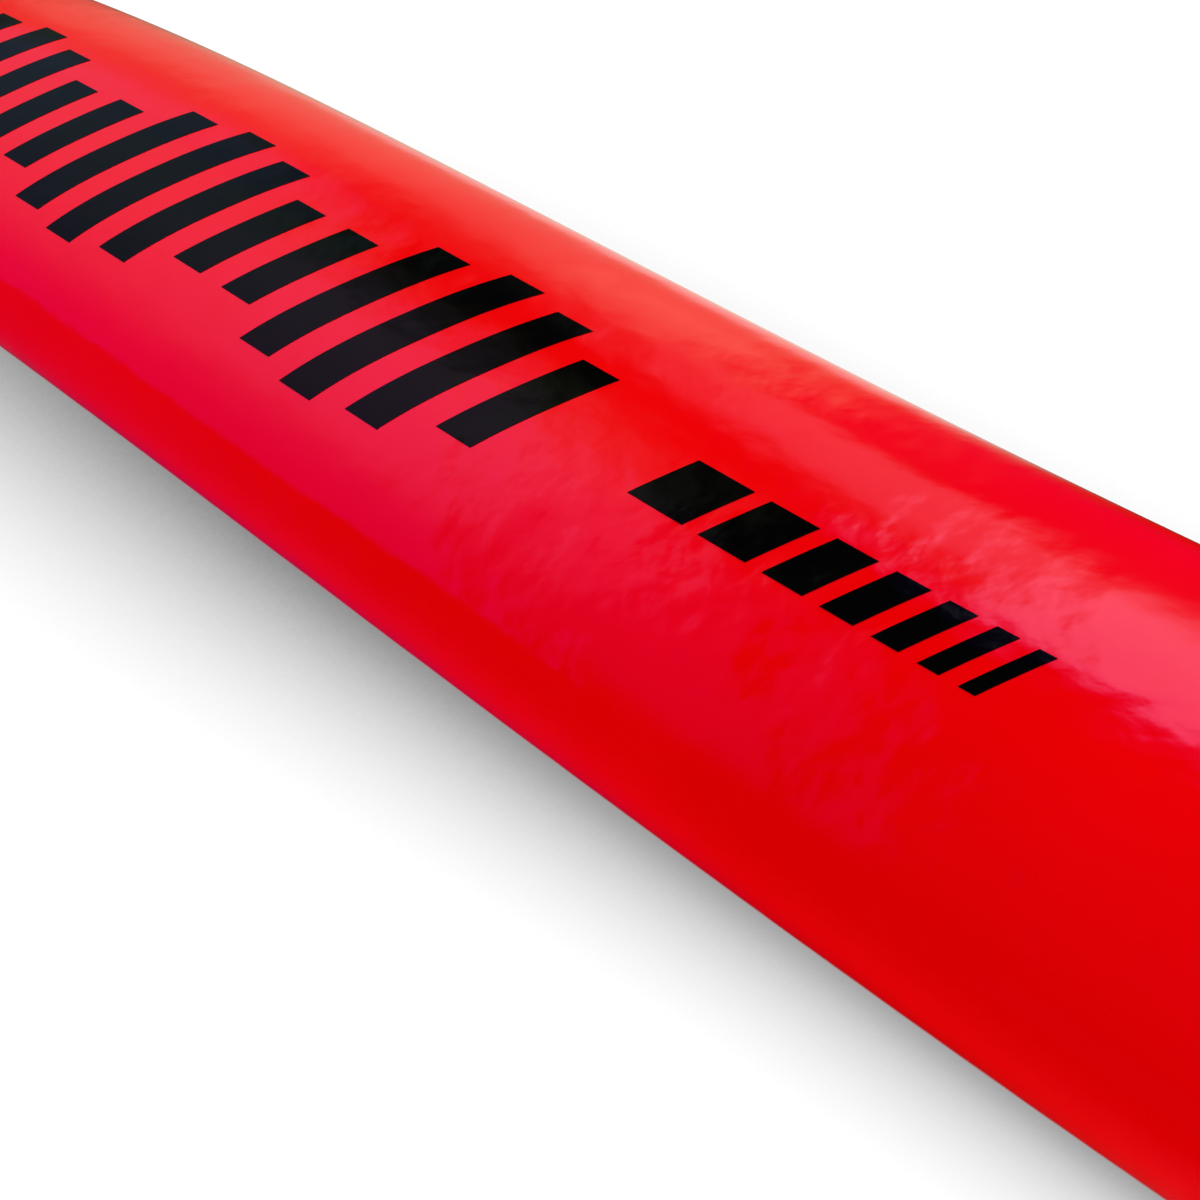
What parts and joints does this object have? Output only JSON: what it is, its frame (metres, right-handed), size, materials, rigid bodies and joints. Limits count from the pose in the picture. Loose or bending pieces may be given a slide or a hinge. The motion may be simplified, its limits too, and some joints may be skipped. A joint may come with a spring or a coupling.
{
  "type": "field hockey stick",
  "caption": "Composite field hockey stick: hooked head, flat playing face, rounded glossy back, bowed shaft, and a wound grip between a butt cap and finishing tape.",
  "frame": {"origin": "middle of the bounding box in plan, at the surface that the stick lies on with its playing face down", "axes": "+X along the shaft from the butt to the head, +Y across to the toe's side, +Z out of the rounded back"},
  "size_m": [0.9268, 0.1204, 0.0453],
  "materials": {
    "red_lacquer": "high gloss clear lacquer",
    "carbon_core": "bare carbon composite",
    "rigid_foam": "matte rigid foam",
    "cap_rubber": "satin moulded rubber",
    "cushion_foam": "matte soft foam",
    "grip_polyurethane": "matte tacky polyurethane",
    "finishing_vinyl": "satin vinyl tape"
  },
  "bodies": {
    "root": {"outer_laminate": "red_lacquer", "head_foam_core": "rigid_foam", "toe_side_core_tube": "carbon_core", "heel_side_core_tube": "carbon_core", "web_strip": "carbon_core", "toe_side_tube_stop": "rigid_foam", "heel_side_tube_stop": "rigid_foam", "toe_side_butt_plug": "rigid_foam", "heel_side_butt_plug": "rigid_foam", "butt_cap": "cap_rubber", "cushion_underlay": "cushion_foam", "grip_tape": "grip_polyurethane", "finishing_tape": "finishing_vinyl"}
  },
  "joints": []
}
